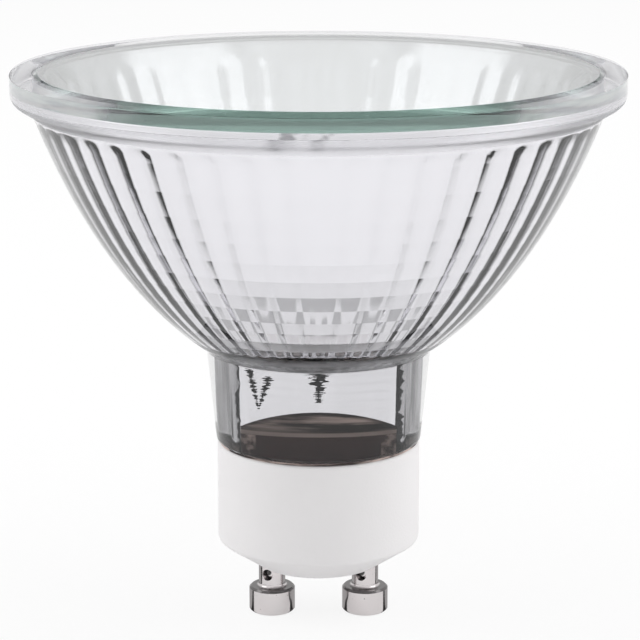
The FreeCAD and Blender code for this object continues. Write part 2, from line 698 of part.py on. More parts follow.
def make_fuse():
    """A short round-ended body over the right-hand pin."""
    wall = "fuse_diameter / 2"
    corners = (("0", FUSE_BOTTOM), (wall, FUSE_BOTTOM), (wall, FUSE_TOP), ("0", FUSE_TOP))
    body = turned_body("fuse", corners)
    rims = [
        name
        for height in (FUSE_BOTTOM, FUSE_TOP)
        for name in ring_edges(body.Tip, wall, height)
    ]
    dress(body, "Fillet", "Radius", "fuse_end_radius", rims)
    bind(body, "Placement.Base.x", "pin_spacing / 2")
    return body


def make_cement_arch():
    """A block with an arched top, as wide as the slot, that gives the capsule cement its upper face."""
    body = new_body("cement_arch")
    sketch = new_sketch(body, "outline", "XZ_Plane")
    across = "slot_width / 2"
    slot_length = f"({BOWL_FLOOR} - {SPIGOT_BOTTOM})"
    side_level = f"({SPIGOT_BOTTOM} + cement_edge_share * {slot_length})"
    crown_level = f"({SPIGOT_BOTTOM} + cement_centre_share * {slot_length})"
    left, right = spot((f"-{across}", side_level)), spot((across, side_level))
    low_left, low_right = spot((f"-{across}", SPIGOT_BOTTOM)), spot((across, SPIGOT_BOTTOM))
    crown = spot(("0", crown_level))
    sketch.addGeometry([
        Part.LineSegment(low_left, low_right),
        Part.LineSegment(low_right, right),
        Part.LineSegment(left, low_left),
        Part.Arc(right, crown, left),
    ], False)
    bottom, right_side, left_side, arch = range(4)
    sketch.addConstraint(Sketcher.Constraint("Coincident", bottom, 2, right_side, 1))
    sketch.addConstraint(Sketcher.Constraint("Coincident", left_side, 2, bottom, 1))
    sketch.addConstraint(Sketcher.Constraint("Coincident", right_side, 2, arch, 1))
    sketch.addConstraint(Sketcher.Constraint("Coincident", left_side, 1, arch, 2))
    place_point(sketch, bottom, 1, f"-{across}", SPIGOT_BOTTOM)
    place_point(sketch, bottom, 2, across, SPIGOT_BOTTOM)
    place_point(sketch, right_side, 2, across, side_level)
    place_point(sketch, left_side, 1, f"-{across}", side_level)
    rise = f"((cement_centre_share - cement_edge_share) * {slot_length})"
    dimension(sketch, "Radius", (arch,), f"(({across})^2 + {rise}^2) / (2 * {rise})")
    extrude(body, sketch, "slot_depth", midplane=True)
    return body


SIDES = (("left", "-1"), ("right", "1"))

reflector_blank = make_reflector_blank()
slot_core = make_slot_core()
hollow = fuse_all("reflector_hollow", [make_facet_core(), make_cover_recess(), slot_core])
capsule_blank = make_capsule_blank()
plug_blank = boolean("plug_blank", "Common", slot_core, make_cement_arch())

reflector = boolean("reflector", "Cut", reflector_blank, hollow)
pieces = [reflector, make_cover_glass(), make_cover_adhesive()]
sealed_in = [make_filament_support()]
for side, sign in SIDES:
    across = f"{sign} * lead_spacing / 2"
    sealed_in.append(make_foil(f"foil_{side}", sign))
    sealed_in.append(straight_rod(
        f"inner_lead_{side}", across, FOIL_TOP, f"({COIL_ENDS} + filament_lap)", "inner_lead_diameter"))
    foot = PIN_BORE_FOOT if side == "left" else FUSE_TOP
    sealed_in.append(make_outer_lead(f"outer_lead_{side}", sign, foot))
    pieces.append(make_contact_pin(f"contact_pin_{side}", sign))
pieces += sealed_in
pieces.append(boolean("capsule_envelope", "Cut", capsule_blank, fuse_all("seal_cores", sealed_in)))
pieces.append(boolean("capsule_cement", "Cut", plug_blank, capsule_blank))
pieces.append(make_filament())
pieces.append(make_fuse())
pieces.append(straight_rod(
    "fuse_lead", "pin_spacing / 2", PIN_BORE_FOOT, FUSE_BOTTOM, "outer_lead_diameter"))
pieces.append(make_base_cement())
pieces.append(make_ceramic_base())
doc.recompute()

for thing in doc.Objects:
    if "Invalid" in thing.State or "Error" in thing.State:
        raise RuntimeError(f"{thing.Name} failed: {thing.State}")
for piece in pieces:
    if piece.Shape.isNull() or not piece.Shape.isValid():
        raise RuntimeError(f"{piece.Label} has no valid shape")
os.makedirs("parts", exist_ok=True)
for piece in pieces:
    piece.Shape.exportStep(f"parts/{piece.Label}.step")
    print(f"{piece.Label}: {len(piece.Shape.Solids)} solid, {piece.Shape.Volume:.2f} mm3")
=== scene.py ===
"""Finishes of a halogen spotlight bulb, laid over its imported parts, and a plain studio to show it in.

Lengths are in metres. The lamp stands on the ends of its two contact pins, with +Z along its axis.
"""

import math

import bmesh
import bpy
import numpy as np
from mathutils import Matrix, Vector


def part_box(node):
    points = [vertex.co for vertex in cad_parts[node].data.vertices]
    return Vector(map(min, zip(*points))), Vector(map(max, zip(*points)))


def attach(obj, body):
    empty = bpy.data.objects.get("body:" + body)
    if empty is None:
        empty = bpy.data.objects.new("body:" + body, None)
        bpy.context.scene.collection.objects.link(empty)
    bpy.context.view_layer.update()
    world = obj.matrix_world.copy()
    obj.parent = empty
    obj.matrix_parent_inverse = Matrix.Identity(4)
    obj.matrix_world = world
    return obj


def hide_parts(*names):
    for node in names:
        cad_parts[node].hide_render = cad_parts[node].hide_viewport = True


bl_info = {
    "name": "Spotlight bulb",
    "version": (1, 0, 0),
    "blender": (4, 5, 0),
    "location": "View3D > Sidebar > Bulb",
    "description": "Glass, mirror, ceramic and metal of a halogen spotlight bulb, and its studio",
    "category": "Object",
}

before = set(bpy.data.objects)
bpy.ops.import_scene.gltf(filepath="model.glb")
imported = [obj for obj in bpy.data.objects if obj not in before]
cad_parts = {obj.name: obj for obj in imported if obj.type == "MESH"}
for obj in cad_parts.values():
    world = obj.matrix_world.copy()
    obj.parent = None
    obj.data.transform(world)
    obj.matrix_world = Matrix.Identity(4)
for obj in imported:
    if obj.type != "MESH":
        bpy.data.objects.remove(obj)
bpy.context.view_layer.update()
MM = 0.001

REFLECTOR_LOW, REFLECTOR_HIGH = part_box("reflector")
ADHESIVE_LOW, ADHESIVE_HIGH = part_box("cover_adhesive")
COVER_LOW, COVER_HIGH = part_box("cover_glass")
_, CEMENT_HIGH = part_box("capsule_cement")
_, JOINT_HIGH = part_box("base_cement")
COIL_LOW, COIL_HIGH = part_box("filament")
PIN_LOW, PIN_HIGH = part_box("contact_pin_right")

# The pins: how far they stand from the bulb's axis, the top of a head, and the punch mark on a shank.
PIN_OFF_MIDDLE = (PIN_LOW.x + PIN_HIGH.x) / 2
HEAD_TOP = PIN_LOW.z + 2.75 * MM
MARK_ASIDE = -0.49 * MM
MARK_HEIGHT = PIN_LOW.z + 4.37 * MM

# Between the reflector and what is set in it, because faces that touch show through each other.
CLEARANCE = 0.03 * MM


def length(name, description, metres):
    """A property that holds a length."""
    return bpy.props.FloatProperty(
        name=name, description=description, default=metres, min=0.0, precision=5, unit="LENGTH")


def colour(name, description, red, green, blue):
    """A property that holds a colour."""
    return bpy.props.FloatVectorProperty(
        name=name, description=description, default=(red, green, blue), min=0.0, max=1.0,
        size=3, subtype="COLOR")


def share(name, description, value):
    """A property that holds a share between nought and one."""
    return bpy.props.FloatProperty(
        name=name, description=description, default=value, min=0.0, max=1.0, subtype="FACTOR")


class ReflectorSizes(bpy.types.PropertyGroup):
    """Sizes of the pressed glass reflector that its box does not give."""

    spigot_radius: length("Spigot radius", "Spigot inside the base", 8.71 * MM)
    neck_foot_radius: length("Neck foot radius", "Neck where it stands on the base", 10.8 * MM)
    neck_top_radius: length("Neck top radius", "Neck where the bowl begins", 11.8 * MM)
    slot_corner: length("Slot corner", "Upright corners of the slot", 0.9 * MM)
    slot_edge: length("Slot edge", "Rounded upper edge of the slot", 0.6 * MM)
    floor_radius: length("Floor radius", "Lowest ring of facets", 8.05 * MM)
    ledge_width: length("Ledge width", "Ledge under the cover", 1.54 * MM)
    bowl_depth: length("Bowl depth", "From the ledge to the floor of the bowl", 26.28 * MM)
    centre_rise: length("Centre rise", "Centre of the ellipsoids above the rim", 36.6 * MM)
    side_wall: length("Side wall", "Between the ellipsoids, across the axis", 2.2 * MM)
    end_wall: length("End wall", "Between the ellipsoids, along the axis", 2.4 * MM)
    rim_shoulder: length("Rim shoulder", "How far the rim stands out over the bowl", 2.15 * MM)
    coated_wall: length("Coated wall", "Mirror on the recess wall, above the ledge", 1.0 * MM)
    rim_wall: length("Rim wall", "Upright outer wall of the rim", 2.75 * MM)
    spigot_edge: length("Spigot edge", "Rounding at both ends of the spigot", 0.15 * MM)
    foot_edge: length("Foot edge", "Rounding of the neck's foot", 0.3 * MM)
    fold: length("Fold", "Fillet between neck and bowl", 0.5 * MM)
    root_fillet: length("Root fillet", "Fillet between bowl and rim", 1.4 * MM)
    rim_lower_edge: length("Rim lower edge", "Rounding below the rim's outer wall", 1.2 * MM)
    rim_upper_edge: length("Rim upper edge", "Rounding above the rim's outer wall", 0.4 * MM)
    recess_edge: length("Recess edge", "Rounding of the recess at the rim's top", 0.12 * MM)
    recess_corner: length("Recess corner", "Fillet between the recess and the ledge", 0.05 * MM)
    facet_columns: bpy.props.IntProperty(
        name="Facet columns", description="Facets round the bowl", default=48, min=8)
    facet_rows: bpy.props.IntProperty(
        name="Facet rows", description="Facets from the floor to the mouth", default=16, min=2)
    flute_swing: bpy.props.FloatProperty(
        name="Flute swing", description="Turn from a facet's middle to its side, at the mouth",
        default=math.radians(13.5), subtype="ANGLE")
    floor_swing: bpy.props.FloatProperty(
        name="Floor swing", description="Turn from a facet's middle to its side, at the floor",
        default=math.radians(25.0), subtype="ANGLE")
    ridge_share: share("Ridge share", "Rounded ridge between two facets, of their pitch", 1 / 3)
    flute_end: bpy.props.FloatProperty(
        name="Flute end", description="Row in which the facets begin to run out below the mouth",
        default=15.2, min=0.0)
    ripple_height: length("Ripple height", "Ripples on the walls of the slot", 0.008 * MM)
    ripple_pitch: length("Ripple pitch", "From one ripple to the next", 0.95 * MM)


class FilamentSizes(bpy.types.PropertyGroup):
    """Sizes of the wound filament."""

    shoulder: length("Shoulder", "Radius of the two bends", 2.4 * MM)
    wire: length("Wire", "Thickness of the wound wire", 0.13 * MM)
    pitch: length("Pitch", "From one turn to the next", 0.21 * MM)


class FinishColours(bpy.types.PropertyGroup):
    """Colours of the materials."""

    glass: colour("Glass", "Pressed glass of the reflector", 0.985, 0.985, 0.99)
    cover: colour("Cover", "Tint of the cover glass, seen along it", 0.8, 0.9, 0.87)
    mirror: colour("Mirror", "Metal coat in the bowl and the slot", 0.868, 0.862, 0.894)
    # This tone also gives the painted shade along the slot's arch, in the cement behind the bare glass.
    cement_dark: colour("Dark cement", "Cement in its hollows", 0.034, 0.026, 0.025)
    cement_light: colour("Light cement", "Cement where it has dried pale", 0.6, 0.48, 0.44)
    ceramic: colour("Ceramic", "Unglazed base", 0.83, 0.815, 0.82)
    nickel: colour("Nickel", "Plating of the contact pins", 0.74, 0.715, 0.715)
    tungsten: colour("Tungsten", "Filament, its leads and its hook", 0.3, 0.29, 0.29)
    foil: colour("Foil", "Sealing foils in the pinch", 0.46, 0.45, 0.46)
    fuse: colour("Fuse", "Body of the fuse", 0.72, 0.68, 0.6)


class StudioSettings(bpy.types.PropertyGroup):
    """The camera and the light round the bulb."""

    camera_reach: length("Camera reach", "Camera in front of the axis", 0.24986)
    camera_height: length("Camera height", "Camera above the floor", 0.09273)
    camera_pitch: bpy.props.FloatProperty(
        name="Camera pitch", description="How far the camera looks down",
        default=math.radians(13.648), subtype="ANGLE")
    camera_lens: bpy.props.FloatProperty(
        name="Lens", description="Focal length", default=137.8, min=1.0, unit="CAMERA")
    camera_shift: bpy.props.FloatProperty(
        name="Shift", description="Sideways shift of the picture, in picture widths", default=0.0023)
    ambient: share("Ambient", "Light from all round, on matt surfaces", 0.79)
    side_light: bpy.props.FloatProperty(
        name="Side light", description="Each of the two lamps at the sides", default=2.7, min=0.0,
        unit="POWER")
    top_light: bpy.props.FloatProperty(
        name="Top light", description="The lamp above", default=2.0, min=0.0, unit="POWER")
    floor: share("Floor", "Paleness of the floor", 0.86)


class Value:
    """A socket of a finish's node tree, with the arithmetic that the finishes use."""

    def __init__(self, finish, socket):
        self.finish = finish
        self.socket = socket

    def maths(self, operation, *terms):
        """A Math node on the given terms."""
        return self.finish.node("ShaderNodeMath", {"operation": operation}, dict(enumerate(terms)))

    def __add__(self, other):
        return self.maths("ADD", self, other)

    def __sub__(self, other):
        return self.maths("SUBTRACT", self, other)

    def __rsub__(self, other):
        return self.maths("SUBTRACT", other, self)

    def __mul__(self, other):
        return self.maths("MULTIPLY", self, other)

    def __truediv__(self, other):
        return self.maths("DIVIDE", self, other)

    def __pow__(self, other):
        return self.maths("POWER", self, other)

    def sine(self):
        return self.maths("SINE", self)

    def size(self):
        """The value without its sign."""
        return self.maths("ABSOLUTE", self)

    def larger(self, other):
        return self.maths("MAXIMUM", self, other)

    def bearing(self, ahead):
        """The angle whose sine and cosine are as this value and the one ahead."""
        return self.maths("ARCTAN2", self, ahead)

    def step(self, low, high):
        """Nought below one value and one above the other, with a smooth rise between."""
        return self.finish.node(
            "ShaderNodeMapRange", {"interpolation_type": "SMOOTHSTEP"},
            {"Value": self, "From Min": low, "From Max": high})

    def fall(self, low, high):
        """One below one value and nought above the other, with a smooth fall between."""
        return 1.0 - self.step(low, high)

    def between(self, begin, full, fade, end):
        """One between two values, with a smooth rise before them and a smooth fall after them."""
        return self.step(begin, full) * self.fall(fade, end)

    __radd__ = __add__
    __rmul__ = __mul__


def hypotenuse(one, other):
    """The long side of a right-angled triangle, from its two short ones."""
    return (one * one + other * other) ** 0.5


def opaque(tone):
    """A plain colour with its alpha, or a varying one as it is."""
    return tone if isinstance(tone, Value) else (*tone, 1.0)


def dimmed(tone, level):
    """A colour at a share of its level."""
    return [level * part for part in tone]


class Finish:
    """A node tree under construction: a material's, or the world's."""

    def __init__(self, owner):
        owner.use_nodes = True
        self.owner = owner
        self.tree = owner.node_tree
        self.tree.nodes.clear()

    def node(self, kind, settings=None, sockets=None, output=0):
        """Adds a node, with its settings first and then its sockets, and gives one of its outputs."""
        new = self.tree.nodes.new(kind)
        for setting, value in (settings or {}).items():
            setattr(new, setting, value)
        for name, value in (sockets or {}).items():
            if isinstance(value, Value):
                self.tree.links.new(value.socket, new.inputs[name])
            else:
                new.inputs[name].default_value = value
        return Value(self, new.outputs[output])

    def place(self):
        """Where a point is on the piece."""
        return self.node("ShaderNodeTexCoord", output="Object")

    def axes(self):
        """The three coordinates of a point."""
        split = self.node("ShaderNodeSeparateXYZ", sockets={"Vector": self.place()})
        return [Value(self, socket) for socket in split.socket.node.outputs]

    def noise(self, size, detail=2.0, stretch=(1.0, 1.0, 1.0)):
        """Cloudy variation between nought and one, with blotches of about the given size."""
        where = self.node("ShaderNodeMapping", sockets={"Vector": self.place(), "Scale": stretch})
        return self.node(
            "ShaderNodeTexNoise", sockets={"Vector": where, "Scale": 1.0 / size, "Detail": detail})

    def blend(self, factor, one, other):
        """One colour where the factor is nought, and the other where it is one."""
        return self.node(
            "ShaderNodeMix", {"data_type": "RGBA"},
            {"Factor": factor, 6: opaque(one), 7: opaque(other)}, output=2)

    def bump(self, height, depth):
        """Normals of a surface raised by the height, which runs from nought to one, times the depth."""
        return self.node("ShaderNodeBump", sockets={"Height": height, "Distance": depth})

    def light(self, level):
        """A surface that shines white at the given level."""
        return self.node("ShaderNodeEmission", sockets={"Strength": level})

    def clear(self):
        """A surface that lets all light straight through."""
        return self.node("ShaderNodeBsdfTransparent")

    def matt(self, tone):
        """A dull surface of one colour."""
        return self.node("ShaderNodeBsdfDiffuse", sockets={"Color": opaque(tone)})

    def principled(self, **sockets):
        """A coated, metal, matt or clear surface."""
        named = {name.replace("_", " "): value for name, value in sockets.items()}
        return self.node("ShaderNodeBsdfPrincipled", sockets=named)

    def mixed(self, factor, one, other):
        """One surface where the factor is nought, and the other where it is one."""
        return self.node("ShaderNodeMixShader", sockets={0: factor, 1: one, 2: other})

    def close(self, shader, volume=None):
        """Ends the tree with its surface, and its inside where it has one."""
        kind = "World" if isinstance(self.owner, bpy.types.World) else "Material"
        sockets = {"Surface": shader}
        if volume is not None:
            sockets["Volume"] = volume
        new = self.tree.nodes.new(f"ShaderNodeOutput{kind}")
        for name, value in sockets.items():
            self.tree.links.new(value.socket, new.inputs[name])
        return self.owner

    def surface(self, **sockets):
        """Ends the tree with one coated, metal, matt or clear surface."""
        return self.close(self.principled(**sockets))


def new_finish(name):
    """The empty node tree of a new material."""
    return Finish(bpy.data.materials.new(name))


def pressed_glass(tones, floor):
    """Clear glass with the faint waves that a press leaves.

    It is frosted under the rim and in the fold above the neck, and painted grey in bands below the
    bowl, as painted shade.
    """
    finish = new_finish("pressed_glass")
    waves = finish.noise(9 * MM, 1.0)
    _, _, up = finish.axes()
    bands = finish.noise(2.5 * MM, 1.0, (1.0, 1.0, 0.1))
    # Painted shade: the glass below the bowl is tinted grey in faint bands.
    neck_painted_shade = finish.blend(bands, dimmed(tones.glass, 0.7), dimmed(tones.glass, 0.86))
    frost = (REFLECTOR_HIGH.z - up).between(2.2 * MM, 2.6 * MM, 4.0 * MM, 4.3 * MM)
    fold = (up - floor).between(0.1 * MM, 0.4 * MM, 1.2 * MM, 1.6 * MM)
    return finish.surface(
        Base_Color=finish.blend(up.step(floor - 1 * MM, floor + 1 * MM), neck_painted_shade, tones.glass),
        Roughness=(0.5 * frost).larger(0.3 * fold), IOR=1.5, Transmission_Weight=1.0,
        Normal=finish.bump(waves, 0.03 * MM))


def bonded_glass():
    """Glass against adhesive: clear at the front but for a few bubbles, and hazy at the sides.

    The haze is streaked on the walls and thinner on the rim's top.
    """
    finish = new_finish("bonded_glass")
    across, deep, up = finish.axes()
    bubbles = finish.noise(0.8 * MM, 2.0).step(0.66, 0.74)
    patches = finish.noise(6 * MM, 3.0)
    turn = across.size().bearing(deep * -1.0) + 0.6 * (patches - 0.5)
    at_sides = turn.step(math.radians(30.0), math.radians(52.0))
    streaks = finish.noise(0.7 * MM, 3.0, (0.12, 0.12, 1.0)).step(0.35, 0.65)
    on_top = up.step(REFLECTOR_HIGH.z - 0.5 * MM, REFLECTOR_HIGH.z - 0.35 * MM)
    wall_tone = finish.blend(streaks, (0.78, 0.78, 0.82), (1.0, 1.0, 1.0))
    tone = finish.blend(on_top, wall_tone, (0.74, 0.74, 0.77))
    pale = finish.principled(Base_Color=tone, Roughness=1.0, Specular_IOR_Level=0.0)
    haze = (0.6 - 0.35 * on_top) * at_sides
    return finish.close(finish.mixed((0.06 * bubbles).larger(haze), finish.clear(), pale))


def tinted_glass(tones):
    """Flat glass, clear across and green along, with its edge bonded to the rim."""
    finish = new_finish("cover_glass")
    across, deep, _ = finish.axes()
    edge = hypotenuse(across, deep).step(COVER_HIGH.x - 0.33 * MM, COVER_HIGH.x - 0.31 * MM)
    tint_per_metre = 70.0
    inside = finish.node(
        "ShaderNodeVolumeAbsorption",
        sockets={"Color": opaque(tones.cover), "Density": tint_per_metre})
    glass = finish.principled(
        Base_Color=(1.0, 1.0, 1.0, 1.0), Roughness=0.0, IOR=1.52, Transmission_Weight=1.0)
    return finish.close(finish.mixed(edge, glass, finish.clear()), inside)


def mirror_coat(tones, floor):
    """Bright metal with faint clouds and waves, worn to matt grey at the bottom of the bowl.

    Adhesive has left dark spots on it at the front of the ledge, a little left of the middle.
    """
    finish = new_finish("mirror_coat")
    across, deep, up = finish.axes()
    spots_left = 1.3 * MM
    from_spots = (across + spots_left).size()
    at_front = from_spots.fall(2.5 * MM, 5.0 * MM) * deep.fall(-20 * MM, -10 * MM)
    on_ledge = up.step(ADHESIVE_LOW.z - 0.6 * MM, ADHESIVE_LOW.z - 0.4 * MM)
    spots = at_front * on_ledge * finish.noise(1.3 * MM, 2.0, (0.5, 1.0, 1.3)).step(0.5, 0.66)
    clouds = finish.noise(5 * MM)
    waves = finish.noise(2.2 * MM, 1.0)
    patches = finish.noise(0.8 * MM, 3.0)
    worn = (up + 1.2 * MM * (patches - 0.5)).fall(floor + 1.4 * MM, floor + 2.0 * MM)
    bright = finish.blend(clouds, tones.mirror, dimmed(tones.mirror, 0.97))
    matt = finish.blend(patches.step(0.3, 0.7), (0.6, 0.6, 0.62), (0.95, 0.95, 0.97))
    return finish.surface(
        Base_Color=finish.blend(0.6 * spots, finish.blend(worn, bright, matt), (0.1, 0.1, 0.12)),
        Metallic=1.0, Roughness=0.02 + 0.05 * clouds + 0.75 * worn,
        Normal=finish.bump(waves, 0.006 * MM))


def cement_tone(finish, tones):
    """Streaks of dark and light cement, longer across than up."""
    streaks = finish.noise(1.6 * MM, 4.0, (0.16, 0.5, 1.6))
    return finish.blend(streaks.step(0.42, 0.6), tones.cement_dark, tones.cement_light)


def cement(tones):
    """Coarse matt cement."""
    finish = new_finish("cement")
    grain = finish.noise(0.35 * MM, 3.0)
    return finish.surface(
        Base_Color=cement_tone(finish, tones), Roughness=0.75 + 0.2 * grain,
        Normal=finish.bump(grain, 0.08 * MM))


def bed_film(tones):
    """Cement on the outside of the spigot, with the spigot's end left pale."""
    finish = new_finish("bed_film")
    _, _, up = finish.axes()
    past_end = up.step(REFLECTOR_LOW.z + 0.1 * MM, REFLECTOR_LOW.z + 0.25 * MM)
    patches = finish.noise(1.1 * MM, 3.0)
    pale = finish.blend(patches, (0.5, 0.48, 0.48), (0.8, 0.78, 0.78))
    return finish.surface(
        Base_Color=finish.blend(past_end, pale, cement_tone(finish, tones)), Metallic=1.0,
        Roughness=0.6)


def smear(finish, ragged, foot, head, width):
    """One on a ragged upright mark between two points of the slot's front wall, and nought else.

    Points are distances across and up. The mark has its full width at its head.
    """
    across, deep, up = finish.axes()
    way = (up - foot[1]) / (head[1] - foot[1])
    middle = foot[0] + (head[0] - foot[0]) * way
    half = width * (0.2 + 0.8 * way) * (0.1 + 1.9 * ragged)
    off = (across - middle).size()
    inside = (half - off).step(0.0, 0.05 * MM) * way.between(0.0, 0.02, 0.98, 1.0)
    return inside * deep.fall(-0.1 * MM, 0.1 * MM)


def bare_marks(finish):
    """One where the slot's coat is missing: along the corners, and in three smears."""
    across, _, _ = finish.axes()
    crown = CEMENT_HIGH.z
    drift = finish.noise(1.2 * MM, 4.0, (0.2, 0.2, 1.0)).step(0.3, 0.7)
    half_strip = (0.12 + 0.16 * across.step(-1 * MM, 1 * MM)) * MM * (0.3 + 1.2 * drift)
    strip_middle = CEMENT_HIGH.x - 0.6 * MM
    from_strip = (across.size() - strip_middle - 0.3 * MM * (drift - 0.5)).size()
    marks = (half_strip - from_strip).step(-0.04 * MM, 0.04 * MM)
    ragged = finish.noise(0.28 * MM, 2.0, (0.3, 1.0, 1.6)).step(0.3, 0.7)
    for foot, head, width in (
        ((0.0, crown + 0.5 * MM), (0.0, crown + 5.0 * MM), 0.75 * MM),
        ((-4.7 * MM, crown - 0.4 * MM), (-5.5 * MM, crown + 4.2 * MM), 0.32 * MM),
        ((-4.7 * MM, crown - 0.4 * MM), (-3.8 * MM, crown + 3.3 * MM), 0.32 * MM),
    ):
        marks = marks.larger(smear(finish, ragged, foot, head, width))
    return marks


def plug_tone(finish, tones, over_arch):
    """Cement behind bare glass: painted shade along the arch and just above the lip, with a pale lip
    above a brown foot.

    The foot is mottled at its ends.
    """
    across, _, up = finish.axes()
    over_foot = up - (CEMENT_HIGH.z - 3.3 * MM)
    on_foot = over_foot.fall(0.0, 0.1 * MM)
    lip = over_foot.between(0.0, 0.15 * MM, 0.4 * MM, 0.6 * MM)
    mottle = finish.noise(0.9 * MM, 3.0).step(0.4, 0.7) * across.size().step(4.9 * MM, 5.1 * MM)
    foot_tone = finish.blend(mottle, (0.07, 0.036, 0.036), tones.cement_light)
    # Painted shade: darker cement along the arch and in a band just above the lip.
    dark = over_arch.step(-0.5 * MM, -0.1 * MM).larger(over_foot.fall(0.6 * MM, 1.3 * MM))
    upper_tone = finish.blend(0.75 * dark, cement_tone(finish, tones), tones.cement_dark)
    return finish.blend(on_foot, finish.blend(0.6 * lip, upper_tone, tones.cement_light), foot_tone)


def slot_wall(tones, floor):
    """Mirror coat that ends at an arch, with cement behind the bare glass below it.

    On the slot's ends the coat is painted darker in bands, as painted shade; where it is missing above
    the arch it is painted near-black, as painted shade of the slot behind the bare glass.
    """
    finish = new_finish("slot_wall")
    across, _, up = finish.axes()
    half_width = CEMENT_HIGH.x
    arch = CEMENT_HIGH.z - 0.5 * MM - 2.4 * MM * (across / half_width) ** 2.0
    at_end = across.size().step(half_width - 0.75 * MM, half_width - 0.65 * MM)
    coated = (up - arch).step(-0.04 * MM, 0.04 * MM).larger(at_end)
    bands = finish.noise(1.1 * MM, 2.0, (1.0, 1.0, 0.08)).step(0.3, 0.7)
    # Painted shade: on the slot's ends the coat is darkened to between a fifth and a half of the
    # mirror, in bands.
    end_painted_shade = finish.blend(bands, dimmed(tones.mirror, 0.22), dimmed(tones.mirror, 0.55))
    coat = finish.blend(at_end, tones.mirror, end_painted_shade)
    # Where the coat is missing it is painted near-black, as painted shade of the dark slot seen through
    # the bare glass.
    coat = finish.blend(bare_marks(finish), coat, (0.02, 0.02, 0.022))
    return finish.surface(
        Base_Color=finish.blend(coated, plug_tone(finish, tones, up - arch), coat), Metallic=1.0,
        Roughness=0.6 - 0.56 * coated + 0.4 * up.step(floor - 0.7 * MM, floor - 0.4 * MM))


def ceramic(tones):
    """Unglazed white ceramic with fine pores."""
    finish = new_finish("ceramic")
    grain = finish.noise(0.25 * MM, 3.0)
    clouds = finish.noise(6 * MM)
    return finish.surface(
        Base_Color=finish.blend(clouds, tones.ceramic, dimmed(tones.ceramic, 0.965)),
        Roughness=0.55 + 0.2 * grain, Specular_IOR_Level=0.35,
        Normal=finish.bump(grain, 0.02 * MM))


def turned_nickel(tones):
    """Plated turned metal: fine rings from the tool, a few small pits and a faint pink cast.

    The punch mark is painted dark, as painted shade of its hollow, and the head's top is painted dark,
    as a painted reflection of the base's shaded underside.
    """
    finish = new_finish("turned_nickel")
    across, deep, up = finish.axes()
    wander = finish.noise(1.5 * MM)
    ring_pitch = 0.16 * MM
    rings = (up * (2.0 * math.pi / ring_pitch) + 5.0 * wander).sine()
    pits = finish.noise(0.28 * MM, 1.0).step(0.74, 0.78)
    red, green, blue = tones.nickel
    tone = finish.blend(wander, tones.nickel, (red, 0.965 * green, 0.97 * blue))
    side = 2.0 * across.step(-1 * MM, 1 * MM) - 1.0
    from_mark = hypotenuse(across - PIN_OFF_MIDDLE * side - MARK_ASIDE, up - MARK_HEIGHT)
    # Painted shade in the punch mark's hollow.
    mark_painted_shade = from_mark.fall(0.36 * MM, 0.52 * MM) * deep.fall(-0.3 * MM, 0.0)
    # Painted reflection: the head's top is darkened for the base's shaded underside.
    head_painted_reflection = up.between(HEAD_TOP - 0.26 * MM, HEAD_TOP - 0.2 * MM, HEAD_TOP, HEAD_TOP + 0.15 * MM)
    # Real pits, together with the painted shade of the mark and of the head's top.
    pits_and_painted_shade = (0.5 * pits).larger(mark_painted_shade).larger(0.84 * head_painted_reflection)
    return finish.surface(
        Base_Color=finish.blend(pits_and_painted_shade, tone, dimmed(tones.nickel, 0.1)), Metallic=1.0,
        Roughness=0.13 + 0.04 * rings + 0.2 * pits, Normal=finish.bump(rings, 0.0008 * MM))


def quartz():
    """Fused quartz with faint draw lines."""
    finish = new_finish("quartz")
    lines = finish.noise(1.2 * MM, 1.0, (1.0, 1.0, 0.1))
    return finish.surface(
        Base_Color=(0.99, 0.99, 0.99, 1.0), Roughness=0.0, IOR=1.46, Transmission_Weight=1.0,
        Normal=finish.bump(lines, 0.01 * MM))


def wire_metal(name, tone, roughness):
    """Drawn or rolled metal with fine mottling."""
    finish = new_finish(name)
    mottle = finish.noise(0.4 * MM, 3.0)
    return finish.surface(
        Base_Color=finish.blend(mottle, tone, dimmed(tone, 0.75)), Metallic=1.0,
        Roughness=roughness + 0.15 * mottle)


def fuse_body(tones):
    """Moulded body with fine mottling."""
    finish = new_finish("fuse_body")
    mottle = finish.noise(0.6 * MM, 3.0)
    return finish.surface(
        Base_Color=finish.blend(mottle, tones.fuse, dimmed(tones.fuse, 0.8)),
        Roughness=0.35 + 0.2 * mottle)


def clear_adhesive():
    """Adhesive that is clear at the cover's edge and milky under the cover."""
    finish = new_finish("clear_adhesive")
    _, _, up = finish.axes()
    cloud = finish.noise(2.5 * MM)
    under = up.fall(COVER_LOW.z - 0.04 * MM, COVER_LOW.z + 0.02 * MM)
    haze = 0.03 + under * (0.6 + 0.3 * cloud)
    return finish.close(finish.mixed(haze, finish.clear(), finish.matt((0.72, 0.71, 0.74))))


def unit(vectors):
    """Vectors of length one in the same directions."""
    return vectors / np.linalg.norm(vectors, axis=-1, keepdims=True)


def rounded(corners, radii, steps=8):
    """A path through corners with a circular arc at each inner one.

    Each arc touches both sides at radius / tan(half the corner's angle) from the corner, and its
    points turn evenly about a centre on the corner's bisector.
    """
    corners = np.array(corners)
    radii = np.array(radii)[:, None]
    at = corners[1:-1]
    back = unit(corners[:-2] - at)
    ahead = unit(corners[2:] - at)
    half = np.arccos(np.clip((back * ahead).sum(1, keepdims=True), -1, 1)) / 2
    centre = at + unit(back + ahead) * radii / np.sin(half)
    enter = at + back * radii / np.tan(half) - centre
    leave = at + ahead * radii / np.tan(half) - centre
    turn = (math.pi - 2 * half)[:, None]
    way = np.linspace(0, 1, steps)[None, :, None]
    arcs = np.sin((1 - way) * turn) * enter[:, None] + np.sin(way * turn) * leave[:, None]
    arcs = centre[:, None] + arcs / np.sin(turn)
    return np.concatenate([corners[:1], arcs.reshape(-1, 2), corners[-1:]])


